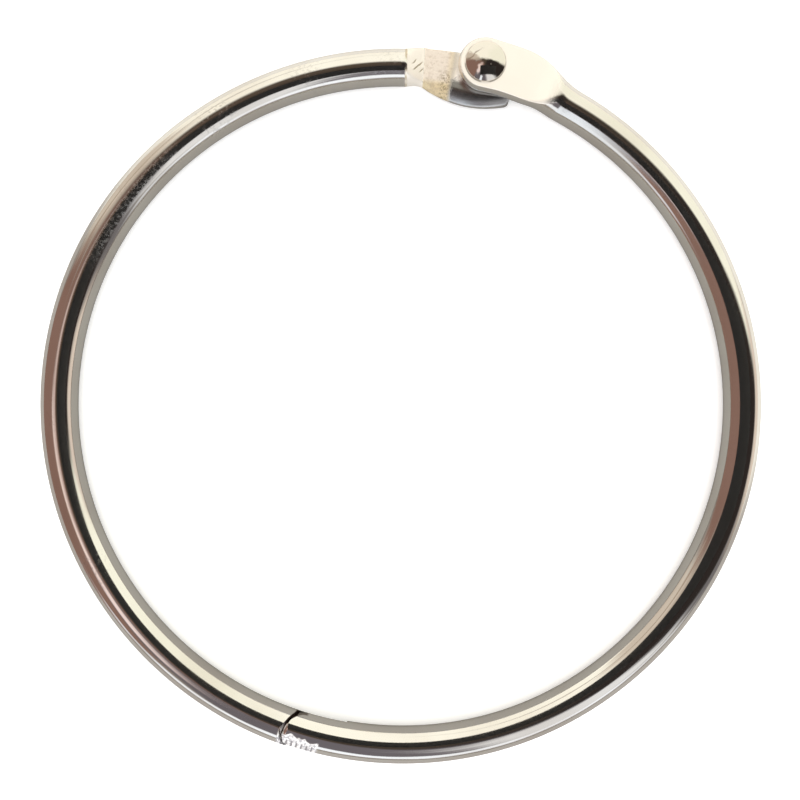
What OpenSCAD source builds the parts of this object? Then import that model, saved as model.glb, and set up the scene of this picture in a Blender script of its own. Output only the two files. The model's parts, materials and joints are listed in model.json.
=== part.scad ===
// Hinged loose-leaf ring: two half rings of round plated wire.
// A coined half-lap turns on a domed rivet, and a half-lapped snap clasp closes the far side.
// The ring lies flat: its centre is the origin, the hinge is on +Y, and it rests on z = 0.

/* [Ring] */
// Outside diameter of the closed ring
ring_od = 76; // [60:1:100]
// Diameter of the round wire
wire_d = 3.8; // [3.2:0.1:4.6]

/* [Hinge lap] */
// Distance of the rivet's axis outside the wire's centre line
rivet_out = 0.6; // [0.4:0.1:0.8]
// Depth of the coined outer faces below the wire's surface
coin_depth = 0.25; // [0.15:0.05:0.4]
// Running gap between the two halves of the lap
lap_gap = 0.1; // [0.06:0.02:0.2]
// Length of the coined flat, from the rivet's axis to the foot of the shoulder
flat_len = 6.3; // [5.3:0.1:7.5]
// Length of the sloping shoulder, from the flat up to the round wire
slope_len = 1.6; // [1.2:0.1:2.4]

/* [Paddle] */
// Radius of the round end that turns under the rivet's head
paddle_r = 2.8; // [2.5:0.1:3.1]
// Length over which the neck keeps its full width
neck_len = 4.2; // [3.4:0.1:5]
// Overhang of the neck beyond the wire's inner side
neck_in = 0.2; // [0.1:0.05:0.4]

/* [Tongue] */
// Length of the tongue past the rivet's axis
tip_len = 3.6; // [2.6:0.1:4]
// Overhang of the tongue beyond the wire's inner side
bulge = 1.75; // [0.6:0.05:2]
// Radius of the tongue's bulged inner side
bulge_r = 14; // [10:1:20]
// Radius of the tongue's eye round the rivet
eye_r = 2.2; // [1.8:0.1:2.6]

/* [Rivet] */
// Diameter of the shank
shank_d = 2.2; // [1.8:0.1:2.6]
// Radial clearance of the paddle on the shank, and of the head over the paddle
pivot_gap = 0.05; // [0.03:0.01:0.08]
// Diameter of the domed head
head_d = 4.2; // [3.6:0.1:4.8]
// Height of the domed head
head_h = 0.95; // [0.7:0.05:1.2]
// Diameter of the upset tail
tail_d = 3.2; // [2.8:0.1:3.6]
// Height of the upset tail
tail_h = 0.2; // [0.1:0.02:0.2]

/* [Clasp] */
// Length of the upper lap past the ring's far point, to the tip of its round nose
nose_len = 3.85; // [2.8:0.05:4.6]
// Length of the lower lap past the ring's far point
under_len = 2.7; // [2:0.1:3.5]
// Gap between the faces of the closed clasp
clasp_gap = 0.2; // [0.16:0.02:0.3]
// Gap between each lap's end and its shoulder
end_gap = 0.25; // [0.15:0.05:0.4]
// Height of the catch nub on the lower lap
nub_h = 0.14; // [0.08:0.02:0.14]
// Radius of the nub's spherical top
nub_r = 1.2; // [0.8:0.1:1.4]

/* [Grip] */
// Length of the flat facet pressed on the upper outer side of the closed clasp
facet_len = 4.2; // [3:0.1:5]
// Depth of the facet below the wire's surface
facet_depth = 0.14; // [0.08:0.02:0.2]
// Number of grooves across the facet
groove_count = 7; // [3:1:8]
// Distance between grooves along the wire
groove_pitch = 0.55; // [0.45:0.05:0.6]
// Radius of a groove
groove_r = 0.2; // [0.14:0.01:0.22]
// Depth of a groove below the facet
groove_depth = 0.08; // [0.04:0.02:0.12]

/* [Hidden] */
$fn = 96;

wire_r = wire_d / 2;
ring_r = ring_od / 2 - wire_r;
mid_z = wire_r;
// How far a cutting shape reaches past what it cuts
over = 1;
// Offset that keeps two nearly flush round faces from lying in each other
skin = 0.06;

// Hinge side: every level and length follows the wire and the rivet
hinge_y = ring_r + rivet_out;
tongue_bottom_z = coin_depth;
tongue_top_z = mid_z - lap_gap / 2;
paddle_bottom_z = mid_z + lap_gap / 2;
paddle_top_z = wire_d - coin_depth;
shoulder_len = flat_len + slope_len;
// Cuts at the hinge reach this far past the rivet, beyond the ends of both flats
past_len = 10;
neck_outer_r = hinge_y + paddle_r - skin;
neck_inner_r = ring_r - wire_r - neck_in;
tongue_outer_r = ring_r + wire_r - skin;
// The tongue's bulge is widest a little on the arm's side of the rivet, and ends past the shoulder
bulge_x = -1.7;
bulge_end_x = -shoulder_len - 0.5;
// The neck runs on past its shoulder and ends inside the round wire
taper_end_a = arc_a(shoulder_len + 3.6);
taper_half_w = 0.85;

// Clasp side: the nose is a shade wider than the wire, so that it cuts the wire cleanly
nose_r = wire_r + skin;
upper_lap_z = mid_z + clasp_gap / 2;
lower_lap_z = mid_z - clasp_gap / 2;
nose_a = 180 + arc_a(nose_len - nose_r);
nose_end_a = nose_a + arc_a(nose_r + over);
under_a = 180 - arc_a(under_len);
nub_z = lower_lap_z + nub_h - nub_r;
// Direction of the grip from the wire's centre, measured up from the ring's plane
grip_tilt = 42;
// Middle of the grip, which ends level with the shoulder round the nose
grip_mid_a = 180 + arc_a(nose_len + end_gap - facet_len / 2);
groove_reach = 1.2;

// Angle at the ring's centre that a length along the wire takes
function arc_a(len) = len / ring_r * 180 / PI;

// Point at a radius, and at an angle clockwise from the hinge
function polar(r, a) = [r * sin(a), r * cos(a)];

// Round wire from one angle to another, both clockwise from the hinge
module wire(from_a, to_a) {
    rotate([0, 0, 90 - to_a])
        rotate_extrude(angle = to_a - from_a)
            translate([ring_r, mid_z])
                circle(r = wire_r);
}

// Flat sector between two angles clockwise from the hinge, from inside the wire to outside it
module sector(from_a, to_a) {
    near = ring_r - wire_d;
    far = ring_r + wire_d;
    mid_a = (from_a + to_a) / 2;
    // The straight far side bulges at its middle, so that it never falls inside the wire
    far_mid = far / cos((to_a - from_a) / 2);
    polygon([polar(near, from_a), polar(far, from_a), polar(far_mid, mid_a),
             polar(far, to_a), polar(near, to_a)]);
}

// Prism over the coined flat of an arm that leaves the hinge towards -X: level from beyond
// the rivet to the shoulder's foot, then a slope up to the round wire
module lap_cut(floor_z) {
    top_z = wire_d + over;
    run = slope_len * (top_z - floor_z) / (wire_d - floor_z);
    rotate([0, 0, arc_a(flat_len)])
        translate([0, ring_r + wire_d, 0])
            rotate([90, 0, 0])
                linear_extrude(2 * wire_d)
                    polygon([[0, floor_z], [flat_len + past_len, floor_z],
                             [flat_len + past_len, top_z], [-run, top_z]]);
}

// The same prism for the arm that leaves towards +X, taken from below
module lap_cut_from_below(ceiling_z) {
    translate([0, 0, wire_d])
        rotate([0, 180, 0])
            lap_cut(wire_d - ceiling_z);
}

// Slab over both arms' coined stretches, between two levels
module coin_cut(z0, z1) {
    coined_a = arc_a(flat_len + slope_len / 2);
    translate([0, 0, z0])
        linear_extrude(z1 - z0)
            sector(-coined_a, coined_a);
}

// Outline of the tongue: bulged inwards, flush with the wire outwards, square at its tip
module tongue_outline() {
    intersection() {
        circle(r = tongue_outer_r);
        translate([bulge_x, ring_r - wire_r - bulge + bulge_r])
            circle(r = bulge_r);
        translate([bulge_end_x, 0])
            square([tip_len - bulge_end_x, ring_od]);
    }
    translate([0, hinge_y])
        circle(r = eye_r);
}

// Outline of the paddle: a round end on the rivet and a neck that narrows into the wire
module paddle_outline() {
    neck_a = arc_a(neck_len);
    translate([0, hinge_y])
        circle(r = paddle_r);
    intersection() {
        difference() {
            circle(r = neck_outer_r);
            circle(r = neck_inner_r);
        }
        polygon([polar(neck_inner_r - over, 0), polar(neck_outer_r + over, 0),
                 polar(neck_outer_r + over, neck_a / 2), polar(neck_outer_r, neck_a),
                 polar(ring_r + taper_half_w, taper_end_a), polar(ring_r - taper_half_w, taper_end_a),
                 polar(neck_inner_r, neck_a), polar(neck_inner_r - over, neck_a / 2)]);
    }
}

// Outline of the upper lap and its nose, grown by a gap where the other arm makes room for it
module nose_outline(gap) {
    sector(under_a, nose_a);
    translate(polar(ring_r, nose_a))
        circle(r = nose_r + gap);
}

// Half ring towards -X: a tongue under the hinge, and the lower lap of the clasp
module left_arm() {
    color([0.72, 0.70, 0.67])
        difference() {
            union() {
                difference() {
                    wire(under_a + arc_a(end_gap), 360 - arc_a(over));
                    lap_cut(tongue_top_z);
                    coin_cut(-over, tongue_bottom_z);
                    translate([0, 0, lower_lap_z])
                        linear_extrude(wire_d)
                            nose_outline(end_gap);
                }
                translate([0, 0, tongue_bottom_z])
                    linear_extrude(tongue_top_z - tongue_bottom_z)
                        tongue_outline();
                catch_nub();
            }
            translate([0, hinge_y, -over])
                cylinder(d = shank_d, h = wire_d);
            grip_cut();
        }
}

// Low nub on the lower lap, under the dimple of the upper lap
module catch_nub() {
    translate([0, -ring_r, nub_z])
        rotate_extrude()
            intersection() {
                circle(r = nub_r);
                translate([0, nub_r - 2 * nub_h])
                    square([nub_r, 2 * nub_h]);
            }
}

// Half ring towards +X: a paddle over the hinge, and the upper lap of the clasp
module right_arm() {
    color([0.76, 0.74, 0.70])
        difference() {
            union() {
                difference() {
                    wire(arc_a(over), nose_end_a);
                    lap_cut_from_below(paddle_bottom_z);
                    coin_cut(paddle_top_z, wire_d + over);
                    clasp_cut();
                }
                translate([0, 0, paddle_bottom_z])
                    linear_extrude(paddle_top_z - paddle_bottom_z)
                        paddle_outline();
            }
            translate([0, hinge_y, 0])
                cylinder(r = shank_d / 2 + pivot_gap, h = wire_d + over);
            grip_cut();
        }
}

// What the right arm loses at the clasp: its lower half, all beyond its round nose, and a dimple
module clasp_cut() {
    beyond_a = nose_end_a + arc_a(over);
    translate([0, 0, -over])
        linear_extrude(upper_lap_z + over)
            sector(under_a, beyond_a);
    translate([0, 0, -over])
        linear_extrude(wire_d + 2 * over)
            difference() {
                sector(nose_a, beyond_a);
                translate(polar(ring_r, nose_a))
                    circle(r = nose_r);
            }
    translate([0, -ring_r, nub_z])
        sphere(r = nub_r + clasp_gap);
}

// Grip pressed across the closed clasp: a flat facet with short grooves, cut from both arms
module grip_cut() {
    face_r = wire_r - facet_depth;
    at_grip(grip_mid_a)
        translate([-facet_len / 2, face_r, -wire_r])
            cube([facet_len, wire_r, wire_d]);
    for (i = [0:groove_count - 1])
        at_grip(grip_mid_a + arc_a((i - (groove_count - 1) / 2) * groove_pitch))
            translate([0, face_r + groove_r - groove_depth, -groove_reach / 2])
                cylinder(r = groove_r, h = groove_reach);
}

// Puts a shape on the wire's centre line, its +Y out through the grip and its X along the wire
module at_grip(a) {
    rotate([0, 0, -a])
        translate([0, ring_r, mid_z])
            rotate([grip_tilt, 0, 0])
                children();
}

// Rivet: tail, shank and domed head in one piece
module hinge_rivet() {
    head_z = paddle_top_z + pivot_gap;
    dome_r = (pow(head_d / 2, 2) + pow(head_h, 2)) / (2 * head_h);
    color([0.80, 0.78, 0.74])
        translate([0, hinge_y, 0]) {
            translate([0, 0, tongue_bottom_z - tail_h])
                cylinder(d = tail_d, h = tail_h);
            translate([0, 0, tongue_bottom_z])
                cylinder(d = shank_d, h = head_z - tongue_bottom_z);
            translate([0, 0, head_z])
                rotate_extrude()
                    intersection() {
                        translate([0, head_h - dome_r])
                            circle(r = dome_r);
                        square([head_d / 2, head_h + over]);
                    }
        }
}

left_arm();
right_arm();
hinge_rivet();
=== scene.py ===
"""Binder ring: two arms of plated round wire, pressed at the hinge, and a domed rivet.

Lengths in this file are metres. Along the wire, a place is given by its distance from the
rivet's axis; across the wire, by a turn that starts outwards and goes up over the top.
"""

import json
import math

import bmesh
import bpy
import numpy as np
from bpy.props import FloatProperty, FloatVectorProperty, IntProperty, PointerProperty
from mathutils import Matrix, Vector


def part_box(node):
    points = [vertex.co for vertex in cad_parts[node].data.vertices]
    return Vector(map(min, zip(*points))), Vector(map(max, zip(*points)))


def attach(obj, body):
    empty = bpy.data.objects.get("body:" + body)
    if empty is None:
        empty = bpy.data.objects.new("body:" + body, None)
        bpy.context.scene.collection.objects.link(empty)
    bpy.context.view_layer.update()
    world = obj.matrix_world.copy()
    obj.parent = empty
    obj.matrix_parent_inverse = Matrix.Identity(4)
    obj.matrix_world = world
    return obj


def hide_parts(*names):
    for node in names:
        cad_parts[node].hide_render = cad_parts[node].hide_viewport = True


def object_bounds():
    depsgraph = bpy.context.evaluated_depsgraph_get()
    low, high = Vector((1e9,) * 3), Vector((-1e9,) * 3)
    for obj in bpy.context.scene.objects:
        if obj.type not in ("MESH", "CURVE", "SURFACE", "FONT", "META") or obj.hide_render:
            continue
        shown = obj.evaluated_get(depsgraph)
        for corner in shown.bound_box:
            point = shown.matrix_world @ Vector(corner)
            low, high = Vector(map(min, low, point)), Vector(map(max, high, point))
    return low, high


bl_info = {
    "name": "Binder Ring",
    "version": (1, 0, 0),
    "blender": (4, 5, 0),
    "location": "3D View > Sidebar > Binder Ring",
    "description": "Builds a hinged binder ring of plated wire round its fixed frame",
    "category": "Object",
}

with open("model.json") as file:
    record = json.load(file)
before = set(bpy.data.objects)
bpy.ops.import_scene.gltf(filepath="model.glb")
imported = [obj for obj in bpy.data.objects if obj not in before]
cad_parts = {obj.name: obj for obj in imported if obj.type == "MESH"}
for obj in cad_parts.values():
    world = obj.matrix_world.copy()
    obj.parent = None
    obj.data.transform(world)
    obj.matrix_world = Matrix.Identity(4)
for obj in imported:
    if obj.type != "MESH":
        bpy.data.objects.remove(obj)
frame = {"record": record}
CAD_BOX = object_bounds()

MM = 0.001
TAU = 2 * math.pi
HINGE = frame["record"]["behaviour"]["joints"][0]["pos_m"]
ARM_LOW, ARM_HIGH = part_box("left_arm")
RIVET_LOW, RIVET_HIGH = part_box("hinge_rivet")
WIRE_R = (ARM_HIGH.z - ARM_LOW.z) / 2
RING_R = -ARM_LOW.x - WIRE_R - 0.0015 * MM
HINGE_R = HINGE[1]
PADDLE_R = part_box("right_arm")[1].y - HINGE_R
HEAD_R = (RIVET_HIGH.x - RIVET_LOW.x) / 2


def length(name, about, default, low=0.0, high=0.2):
    return FloatProperty(name=name, description=about, default=default, min=low, max=high,
                         unit="LENGTH", subtype="DISTANCE", precision=5)


def amount(name, about, default, low=0.0, high=1.0):
    return FloatProperty(name=name, description=about, default=default, min=low, max=high)


def colour(name, about, default):
    return FloatVectorProperty(name=name, description=about, default=default, size=3,
                               min=0.0, max=1.0, subtype="COLOR")


# ---------------------------------------------------------------- settings


class RingWireSettings(bpy.types.PropertyGroup):
    """The round wire that both arms are bent from"""

    ring_radius: length("Ring radius", "Radius of the wire's centre line", RING_R)
    wire_radius: length("Wire radius", "Radius of the round wire", WIRE_R)
    stations: IntProperty(name="Stations", description="Rings of points along an arm",
                          default=330, min=60, max=600)
    sides: IntProperty(name="Sides", description="Points around the wire",
                       default=112, min=24, max=160)
    crowding: amount("Crowding", "How far the stations crowd towards an arm's two ends", 0.86)


class RingHingeSettings(bpy.types.PropertyGroup):
    """The pressed flats that turn on the rivet"""

    hinge_radius: length("Hinge radius", "Distance of the rivet's axis from the ring's centre", HINGE_R)
    press_depth: length("Press depth", "Depth of the pressed faces below the wire", 0.25 * MM)
    lap_gap: length("Lap gap", "Running gap between the two flats", 0.1 * MM)
    flat_length: length("Flat length", "From the rivet's axis to the foot of the shoulder", 6.3 * MM)
    slope_length: length("Slope length", "Length of the sloping shoulder", 1.6 * MM)
    paddle_radius: length("Paddle radius", "Radius of the paddle's round end", PADDLE_R)
    neck_width: length("Neck outer radius", "Outer radius of the paddle's neck", HINGE_R + PADDLE_R - 0.06 * MM)
    tongue_tip: length("Tongue tip", "Length of the tongue past the rivet", 3.6 * MM)
    bulge_radius: length("Bulge radius", "Radius of the tongue's bulged inner side", 14 * MM)
    sway: length("Sway", "How far the left arm leans in where it meets the shoulder", 0.53 * MM)
    sway_reach: length("Sway reach", "Length over which the left arm leans in", 53 * MM)
    bulge_depth: length("Bulge depth", "Overhang of the tongue beyond the wire", 1.75 * MM)
    eye_radius: length("Eye radius", "Radius of the tongue's eye", 2.2 * MM)
    bore_radius: length("Bore radius", "Radius of the paddle's bore", 1.15 * MM)


class RingClaspSettings(bpy.types.PropertyGroup):
    """The half-lapped snap clasp and the grip pressed across it"""

    nose_length: length("Nose length", "Upper lap past the far point, to its tip", 3.85 * MM)
    under_length: length("Lower lap", "Lower lap past the far point", 2.7 * MM)
    clasp_gap: length("Clasp gap", "Gap between the closed laps", 0.2 * MM)
    end_gap: length("End gap", "Gap between a lap's end and its shoulder", 0.25 * MM)
    droop: length("Droop", "How far the upper lap leans in at the clasp", 0.13 * MM)
    edge_round: length("Edge round", "Rounding of the nose's upper edge", 0.55 * MM)
    nub_height: length("Nub height", "Height of the catch nub", 0.14 * MM)
    nub_radius: length("Nub radius", "Radius of the nub's top", 1.2 * MM)
    facet_length: length("Grip length", "Length of the pressed grip", 4.2 * MM)
    facet_depth: length("Grip depth", "Depth of the grip's flat facet", 0.13 * MM)
    groove_count: IntProperty(name="Grooves", description="Grooves across the grip", default=7, min=1, max=12)
    groove_pitch: length("Groove pitch", "Distance between grooves", 0.55 * MM)
    groove_radius: length("Groove radius", "Radius of a groove", 0.2 * MM)
    groove_depth: length("Groove depth", "Depth of a groove below the facet", 0.08 * MM)
    grip_tilt: FloatProperty(name="Grip tilt", description="Direction of the grip, up from the ring's plane",
                             default=math.radians(42), unit="ROTATION", subtype="ANGLE")


class RingRivetSettings(bpy.types.PropertyGroup):
    """The domed rivet"""

    head_radius: length("Head radius", "Radius of the domed head", HEAD_R)
    shank_radius: length("Shank radius", "Radius of the shank", 1.09 * MM)
    tail_radius: length("Tail radius", "Radius of the upset tail", 1.6 * MM)
    head_lift: length("Head lift", "Clearance of the head over the paddle", 0.05 * MM)
    rim_round: length("Rim round", "Rounding of the head's rim", 0.16 * MM)


class RingFinishSettings(bpy.types.PropertyGroup):
    """Colours and wear of the plating"""

    nickel: colour("Nickel", "Colour of the bright plate", (0.92, 0.90, 0.86))
    nickel_dull: colour("Dull nickel", "Colour of the plate where it is handled", (0.82, 0.78, 0.73))
    satin: colour("Satin", "Colour of the smooth pressed face", (0.95, 0.90, 0.81))
    die_face: colour("Die face", "Colour of the rough pressed face", (0.93, 0.84, 0.74))
    # Colour of the painted warm reflection and shade at the pressed face's inner edge and beside the paddle
    die_gold: colour("Die edge", "Colour of the yellowed edge of the pressed face", (0.86, 0.72, 0.44))
    rivet: colour("Rivet", "Colour of the rivet's plate", (0.88, 0.84, 0.77))
    grip: colour("Grip", "Colour of the pressed grip", (1.0, 1.0, 1.0))
    gloss: amount("Roughness", "Roughness of the bright plate", 0.07)
    scratches: amount("Scratches", "Strength of the fine scratches", 0.35)


class RingStageSettings(bpy.types.PropertyGroup):
    """Floor, light and camera"""

    camera_height: length("Camera height", "Camera above the wire's middle", 98 * MM, high=2.0)
    view_width: length("View width", "Width seen at the wire's middle", 84.66 * MM, high=2.0)
    roll: FloatProperty(name="Roll", description="Turn of the view about its own axis",
                        default=math.radians(13.9), unit="ROTATION", subtype="ANGLE")
    aim_up: length("Aim", "How far above the ring's centre the view is aimed", 0.45 * MM)
    aim_side: length("Aim aside", "How far left of the ring's centre the view is aimed", 0.08 * MM)
    floor: colour("Floor", "Colour of the floor", (0.90, 0.905, 0.91))
    key: FloatProperty(name="Key light", description="Power of the overhead soft light", default=5.0, min=0.0,
                       unit="POWER")


SETTINGS = {
    "ring_wire": RingWireSettings,
    "ring_hinge": RingHingeSettings,
    "ring_clasp": RingClaspSettings,
    "ring_rivet": RingRivetSettings,
    "ring_finish": RingFinishSettings,
    "ring_stage": RingStageSettings,
}


# ---------------------------------------------------------------- node helpers


def new_group(name, kind, inputs, outputs):
    """A node group with named sockets, each (name, type, default), and its two end nodes."""
    tree = bpy.data.node_groups.new(name, kind)
    for direction, sockets in (("INPUT", inputs), ("OUTPUT", outputs)):
        for socket in sockets:
            made = tree.interface.new_socket(socket[0], in_out=direction, socket_type=socket[1])
            if len(socket) > 2:
                made.default_value = socket[2]
    return tree, tree.nodes.new("NodeGroupInput"), tree.nodes.new("NodeGroupOutput")


class Wiring:
    """Short calls for adding nodes to one tree. A value is a number, a vector or a socket."""

    def __init__(self, tree):
        self.tree = tree

    def put(self, socket, value):
        if isinstance(value, bpy.types.NodeSocket):
            self.tree.links.new(value, socket)
        else:
            socket.default_value = value

    def node(self, kind, settings=None, **inputs):
        made = self.tree.nodes.new(kind)
        for key, value in (settings or {}).items():
            setattr(made, key, value)
        for key, value in inputs.items():
            self.put(made.inputs[key.replace("_", " ")], value)
        return made

    def math(self, operation, *values, clamp=False):
        made = self.tree.nodes.new("ShaderNodeMath")
        made.operation, made.use_clamp = operation, clamp
        for socket, value in zip(made.inputs, values):
            self.put(socket, value)
        return made.outputs[0]

    def product(self, *values):
        """Values multiplied together."""
        result = values[0]
        for value in values[1:]:
            result = self.math("MULTIPLY", result, value)
        return result

    def vector(self, operation, *values):
        made = self.tree.nodes.new("ShaderNodeVectorMath")
        made.operation = operation
        for socket, value in zip(made.inputs, values):
            self.put(socket, value)
        return made.outputs["Value" if operation in ("DOT_PRODUCT", "LENGTH") else "Vector"]

    def combine(self, x, y, z):
        made = self.tree.nodes.new("ShaderNodeCombineXYZ")
        for socket, value in zip(made.inputs, (x, y, z)):
            self.put(socket, value)
        return made.outputs[0]

    def separate(self, vector):
        made = self.tree.nodes.new("ShaderNodeSeparateXYZ")
        self.put(made.inputs[0], vector)
        return made.outputs

    def step(self, value, low, high, to_low=0.0, to_high=1.0):
        """A smooth step of a value, from one level to another."""
        made = self.tree.nodes.new("ShaderNodeMapRange")
        made.interpolation_type = "SMOOTHSTEP"
        for socket, number in zip(made.inputs, (value, low, high, to_low, to_high)):
            self.put(socket, number)
        return made.outputs[0]

    def blend(self, factor, first, second):
        made = self.tree.nodes.new("ShaderNodeMix")
        made.data_type = "RGBA"
        self.put(made.inputs[0], factor)
        for socket, value in zip((made.inputs[6], made.inputs[7]), (first, second)):
            self.put(socket, (*value, 1.0) if isinstance(value, (tuple, list)) and len(value) == 3 else value)
        return made.outputs[2]

    def noise(self, vector, scale, detail=2.0, roughness=0.5):
        made = self.node("ShaderNodeTexNoise", Vector=vector, Scale=scale, Detail=detail, Roughness=roughness)
        return made.outputs["Fac"]

    def use(self, group, **inputs):
        made = self.tree.nodes.new("ShaderNodeGroup")
        made.node_tree = group
        for key, value in inputs.items():
            self.put(made.inputs[key.replace("_", " ")], value)
        return made.outputs


# ---------------------------------------------------------------- swept wire


def wire_tree():
    """Round wire swept along the ring between two angles, its stations crowded towards both ends."""
    found = bpy.data.node_groups.get("Swept Wire")
    if found:
        return found
    tree, given, made = new_group("Swept Wire", "GeometryNodeTree", [
        ("Ring Radius", "NodeSocketFloat", RING_R),
        ("Wire Radius", "NodeSocketFloat", WIRE_R),
        ("Start Angle", "NodeSocketFloat", 0.0),
        ("End Angle", "NodeSocketFloat", math.pi),
        ("Stations", "NodeSocketInt", 300),
        ("Sides", "NodeSocketInt", 96),
        ("Crowding", "NodeSocketFloat", 0.8),
        ("Material", "NodeSocketMaterial"),
    ], [("Geometry", "NodeSocketGeometry")])
    w = Wiring(tree)
    size = given.outputs
    grid = w.node("GeometryNodeMeshGrid", Size_X=1.0, Size_Y=1.0, Vertices_X=size["Stations"],
                  Vertices_Y=w.math("ADD", size["Sides"], 1.0))
    place = w.separate(w.node("GeometryNodeInputPosition").outputs[0])
    share = w.math("ADD", place["X"], 0.5)
    turn = w.product(w.math("ADD", place["Y"], 0.5), TAU)
    sway = w.math("DIVIDE", w.math("SINE", w.product(share, TAU)), TAU)
    eased = w.math("SUBTRACT", share, w.product(sway, size["Crowding"]))
    span = w.math("SUBTRACT", size["End Angle"], size["Start Angle"])
    angle = w.math("MULTIPLY_ADD", eased, span, size["Start Angle"])
    reach = w.math("MULTIPLY_ADD", w.math("COSINE", turn), size["Wire Radius"], size["Ring Radius"])
    height = w.math("MULTIPLY_ADD", w.math("SINE", turn), size["Wire Radius"], size["Wire Radius"])
    spot = w.combine(w.product(reach, w.math("SINE", angle)),
                     w.product(reach, w.math("COSINE", angle)), height)
    shape = grid.outputs["Mesh"]
    kept = (("wire_angle", angle), ("wire_out", w.math("COSINE", turn)), ("wire_up", w.math("SINE", turn)))
    for name, value in kept:
        store = w.node("GeometryNodeStoreNamedAttribute", {"data_type": "FLOAT", "domain": "POINT"},
                       Geometry=shape, Name=name, Value=value)
        shape = store.outputs[0]
    shape = w.node("GeometryNodeSetPosition", Geometry=shape, Position=spot).outputs[0]
    shape = w.node("GeometryNodeMergeByDistance", Geometry=shape, Distance=1e-6).outputs[0]
    shape = w.node("GeometryNodeRealizeInstances", Geometry=shape).outputs[0]
    shape = w.node("GeometryNodeSetMaterial", Geometry=shape, Material=size["Material"]).outputs[0]
    w.put(made.inputs[0], shape)
    return tree


def groove_tree():
    """Short round bars in a row round the ring, each leaning out through the grip."""
    found = bpy.data.node_groups.get("Grip Bars")
    if found:
        return found
    tree, given, made = new_group("Grip Bars", "GeometryNodeTree", [
        ("Count", "NodeSocketInt", 7),
        ("Pitch", "NodeSocketFloat", 0.55 * MM),
        ("Bar Radius", "NodeSocketFloat", 0.2 * MM),
        ("Bar Length", "NodeSocketFloat", 1.2 * MM),
        ("Reach", "NodeSocketFloat", WIRE_R),
        ("Tilt", "NodeSocketFloat", 0.7),
        ("Ring Radius", "NodeSocketFloat", RING_R),
        ("Middle Angle", "NodeSocketFloat", math.pi),
        ("Material", "NodeSocketMaterial"),
    ], [("Geometry", "NodeSocketGeometry")])
    w = Wiring(tree)
    size = given.outputs
    row = w.node("GeometryNodeMeshLine", Count=size["Count"], Offset=(0.0, 0.0, 0.0)).outputs[0]
    number = w.node("GeometryNodeInputIndex").outputs[0]
    middle = w.math("DIVIDE", w.math("SUBTRACT", size["Count"], 1.0), 2.0)
    along = w.product(w.math("SUBTRACT", number, middle), size["Pitch"])
    angle = w.math("ADD", size["Middle Angle"], w.math("DIVIDE", along, size["Ring Radius"]))
    out = w.math("MULTIPLY_ADD", w.math("COSINE", size["Tilt"]), size["Reach"], size["Ring Radius"])
    up = w.math("MULTIPLY_ADD", w.math("SINE", size["Tilt"]), size["Reach"], WIRE_R)
    spot = w.combine(w.product(out, w.math("SINE", angle)),
                     w.product(out, w.math("COSINE", angle)), up)
    row = w.node("GeometryNodeSetPosition", Geometry=row, Position=spot).outputs[0]
    bar = w.node("GeometryNodeMeshCylinder", Vertices=24, Radius=size["Bar Radius"],
                 Depth=size["Bar Length"]).outputs["Mesh"]
    turned = w.combine(size["Tilt"], 0.0, w.product(angle, -1.0))
    bars = w.node("GeometryNodeInstanceOnPoints", Points=row, Instance=bar, Rotation=turned).outputs[0]
    bars = w.node("GeometryNodeRealizeInstances", Geometry=bars).outputs[0]
    bars = w.node("GeometryNodeSetMaterial", Geometry=bars, Material=size["Material"]).outputs[0]
    w.put(made.inputs[0], bars)
    return tree


def grown(name, tree, **values):
    """A plain mesh object holding what a Geometry Nodes tree makes from these inputs."""
    seed = bpy.data.objects.new(name + "_seed", bpy.data.meshes.new(name + "_seed"))
    bpy.context.scene.collection.objects.link(seed)
    modifier = seed.modifiers.new("grow", "NODES")
    modifier.node_group = tree
    ids = {s.name: s.identifier for s in tree.interface.items_tree
           if s.item_type == "SOCKET" and s.in_out == "INPUT"}
    for key, value in values.items():
        modifier[ids[key.replace("_", " ")]] = value
    bpy.context.view_layer.update()
    shown = seed.evaluated_get(bpy.context.evaluated_depsgraph_get())
    mesh = bpy.data.meshes.new_from_object(shown, preserve_all_data_layers=True,
                                           depsgraph=bpy.context.evaluated_depsgraph_get())
    seed.modifiers.clear()
    bpy.data.objects.remove(seed)
    mesh.name = name
    made = bpy.data.objects.new(name, mesh)
    bpy.context.scene.collection.objects.link(made)
    return made


# ---------------------------------------------------------------- pressing


def ramp(value, low, high):
    """Smooth 0 to 1 between two levels."""
    t = np.clip((value - low) / (high - low), 0, 1)
    return t * t * (3 - 2 * t)


def mix(first, second, share):
    """From the first level to the second."""
    return first + (second - first) * share


def through(value, *stops):
    """Smooth curve through (value, level) stops."""
    level = np.full_like(value, stops[0][1], dtype=float)
    for (low, _), (high, target) in zip(stops, stops[1:]):
        level = mix(level, target, ramp(value, low, high))
    return level


def soft_min(a, b, k):
    """The lower of two levels, with a rounded change-over about k wide."""
    h = np.clip(0.5 + 0.5 * (b - a) / k, 0, 1)
    return mix(b, a, h) - k * h * (1 - h)


def soft_max(a, b, k):
    """The higher of two levels, rounded in the same way."""
    return -soft_min(-a, -b, k)


def read_points(mesh, name):
    values = np.zeros(len(mesh.vertices), np.float32)
    mesh.attributes[name].data.foreach_get("value", values)
    return values.astype(float)


def place_points(mesh, x, y, z):
    mesh.vertices.foreach_set("co", np.stack([x, y, z], 1).astype(np.float32).ravel())
    mesh.update()


def close_mesh(mesh, seam=2e-6):
    """Merges doubles, caps open ends, and turns every face outwards."""
    bm = bmesh.new()
    bm.from_mesh(mesh)
    bmesh.ops.remove_doubles(bm, verts=bm.verts, dist=seam)
    bmesh.ops.dissolve_degenerate(bm, dist=seam / 4, edges=bm.edges)
    rim = [e for e in bm.edges if e.is_boundary]
    if rim:
        bmesh.ops.holes_fill(bm, edges=rim, sides=0)
    bmesh.ops.recalc_face_normals(bm, faces=bm.faces)
    bm.to_mesh(mesh)
    bm.free()


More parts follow.
